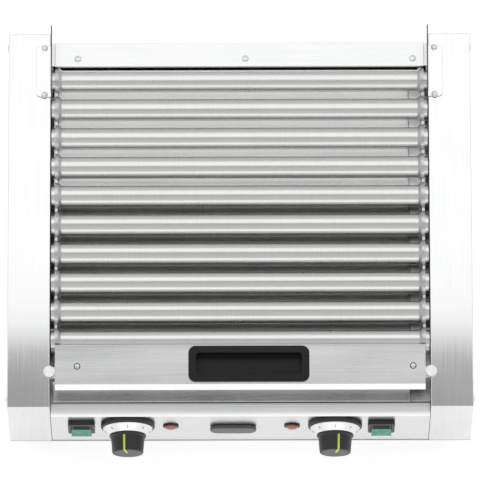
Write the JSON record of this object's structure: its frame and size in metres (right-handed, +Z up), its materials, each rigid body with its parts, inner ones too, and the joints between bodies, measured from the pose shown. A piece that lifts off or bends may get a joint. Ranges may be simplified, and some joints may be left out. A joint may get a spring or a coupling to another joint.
{
  "type": "hot dog roller grill",
  "caption": "Counter-top roller grill: two brushed steel end towers, driven heated rollers, pull-out drip tray and a front panel with knobs, switches and lamps.",
  "frame": {"origin": "centre of the bounding box at the bottom of the feet", "axes": "+X to the operator's right, along the rollers; +Y to the back; +Z up"},
  "size_m": [0.5238, 0.4874, 0.2043],
  "materials": {
    "brushed_steel": "brushed stainless sheet",
    "roller_steel": "fine-ground tube, satin",
    "dark_steel": "plain dark steel",
    "heater_metal": "heat-tinted sheath",
    "black_plastic": "satin moulded",
    "rubber": "matt",
    "green_lens": "glossy translucent",
    "amber_lens": "glossy translucent",
    "dial_silver": "satin",
    "white_nylon": "satin moulded",
    "badge_grey": "satin"
  },
  "bodies": {
    "frame": {"left_tower_cover": "brushed_steel", "left_inner_wall": "brushed_steel", "left_end_shield": "brushed_steel", "left_side_screw_front": "brushed_steel", "left_side_screw_rear": "brushed_steel", "dial_base_left": "black_plastic", "dial_scale_left": "dial_silver", "thermostat_left": "dark_steel", "switch_frame_left": "black_plastic", "lamp_left": "amber_lens", "tray_rail_left": "brushed_steel", "guard_bracket_left": "brushed_steel", "foot_front_left": "rubber", "foot_rear_left": "rubber", "right_tower_cover": "brushed_steel", "right_inner_wall": "brushed_steel", "right_end_shield": "brushed_steel", "right_side_screw_front": "brushed_steel", "right_side_screw_rear": "brushed_steel", "dial_base_right": "black_plastic", "dial_scale_right": "dial_silver", "thermostat_right": "dark_steel", "switch_frame_right": "black_plastic", "lamp_right": "amber_lens", "tray_rail_right": "brushed_steel", "guard_bracket_right": "brushed_steel", "foot_front_right": "rubber", "foot_rear_right": "rubber", "drive_chain": "dark_steel", "gear_motor": "dark_steel", "heater_rack": "heater_metal", "base_pan": "brushed_steel", "back_panel": "brushed_steel", "rear_bar": "brushed_steel", "cable_gland": "black_plastic", "control_panel": "brushed_steel", "badge": "badge_grey"},
    "tray": {"drip_tray": "brushed_steel", "tray_cover": "brushed_steel", "tray_pull": "black_plastic", "tray_stud_left": "white_nylon", "tray_stud_right": "white_nylon"},
    "knob_left": {"knob_left": "black_plastic"},
    "knob_right": {"knob_right": "black_plastic"},
    "rocker_left": {"switch_rocker_left": "green_lens"},
    "rocker_right": {"switch_rocker_right": "green_lens"},
    "motor_sprocket": {"motor_sprocket": "dark_steel"},
    "roller_01": {"roller_01": "roller_steel"},
    "roller_02": {"roller_02": "roller_steel"},
    "roller_03": {"roller_03": "roller_steel"},
    "roller_04": {"roller_04": "roller_steel"},
    "roller_05": {"roller_05": "roller_steel"},
    "roller_06": {"roller_06": "roller_steel"},
    "roller_07": {"roller_07": "roller_steel"},
    "roller_08": {"roller_08": "roller_steel"},
    "roller_09": {"roller_09": "roller_steel"},
    "roller_10": {"roller_10": "roller_steel"}
  },
  "joints": [
    {"name": "roller_01_spin", "type": "hinge", "parent": "frame", "child": "roller_01", "pos_m": [0, 0.17537, 0.161], "axis": [1, 0, 0], "continuous": true},
    {"name": "roller_02_spin", "type": "hinge", "parent": "frame", "child": "roller_02", "pos_m": [0, 0.14144, 0.161], "axis": [1, 0, 0], "continuous": true},
    {"name": "roller_03_spin", "type": "hinge", "parent": "frame", "child": "roller_03", "pos_m": [0, 0.10751, 0.161], "axis": [1, 0, 0], "continuous": true},
    {"name": "roller_04_spin", "type": "hinge", "parent": "frame", "child": "roller_04", "pos_m": [0, 0.07358, 0.161], "axis": [1, 0, 0], "continuous": true},
    {"name": "roller_05_spin", "type": "hinge", "parent": "frame", "child": "roller_05", "pos_m": [0, 0.03965, 0.161], "axis": [1, 0, 0], "continuous": true},
    {"name": "roller_06_spin", "type": "hinge", "parent": "frame", "child": "roller_06", "pos_m": [0, 0.00572, 0.161], "axis": [1, 0, 0], "continuous": true},
    {"name": "roller_07_spin", "type": "hinge", "parent": "frame", "child": "roller_07", "pos_m": [0, -0.02821, 0.161], "axis": [1, 0, 0], "continuous": true},
    {"name": "roller_08_spin", "type": "hinge", "parent": "frame", "child": "roller_08", "pos_m": [0, -0.06214, 0.161], "axis": [1, 0, 0], "continuous": true},
    {"name": "roller_09_spin", "type": "hinge", "parent": "frame", "child": "roller_09", "pos_m": [0, -0.09607, 0.161], "axis": [1, 0, 0], "continuous": true},
    {"name": "roller_10_spin", "type": "hinge", "parent": "frame", "child": "roller_10", "pos_m": [0, -0.13, 0.161], "axis": [1, 0, 0], "continuous": true},
    {"name": "motor_spin", "type": "hinge", "parent": "frame", "child": "motor_sprocket", "pos_m": [0.225, 0.02269, 0.083], "axis": [1, 0, 0], "continuous": true},
    {"name": "tray_slide", "type": "slide", "parent": "frame", "child": "tray", "axis": [0, -1, 0], "range_m": [0, 0.3]},
    {"name": "knob_left_turn", "type": "hinge", "parent": "frame", "child": "knob_left", "pos_m": [-0.1262, -0.234, 0.1029], "axis": [0, 1, 0], "range_deg": [0, 270]},
    {"name": "knob_right_turn", "type": "hinge", "parent": "frame", "child": "knob_right", "pos_m": [0.1062, -0.234, 0.1029], "axis": [0, 1, 0], "range_deg": [0, 270]},
    {"name": "rocker_left_tip", "type": "hinge", "parent": "frame", "child": "rocker_left", "pos_m": [-0.1782, -0.209, 0.098], "axis": [1, 0, 0], "range_deg": [0, 14]},
    {"name": "rocker_right_tip", "type": "hinge", "parent": "frame", "child": "rocker_right", "pos_m": [0.1582, -0.209, 0.098], "axis": [1, 0, 0], "range_deg": [0, 14]}
  ],
  "couplings": [
    {"joint": "roller_02_spin", "follows": "roller_01_spin", "ratio": 1},
    {"joint": "roller_03_spin", "follows": "roller_01_spin", "ratio": 1},
    {"joint": "roller_04_spin", "follows": "roller_01_spin", "ratio": 1},
    {"joint": "roller_05_spin", "follows": "roller_01_spin", "ratio": 1},
    {"joint": "roller_06_spin", "follows": "roller_01_spin", "ratio": 1},
    {"joint": "roller_07_spin", "follows": "roller_01_spin", "ratio": 1},
    {"joint": "roller_08_spin", "follows": "roller_01_spin", "ratio": 1},
    {"joint": "roller_09_spin", "follows": "roller_01_spin", "ratio": 1},
    {"joint": "roller_10_spin", "follows": "roller_01_spin", "ratio": 1},
    {"joint": "motor_spin", "follows": "roller_01_spin", "ratio": 0.36667}
  ]
}
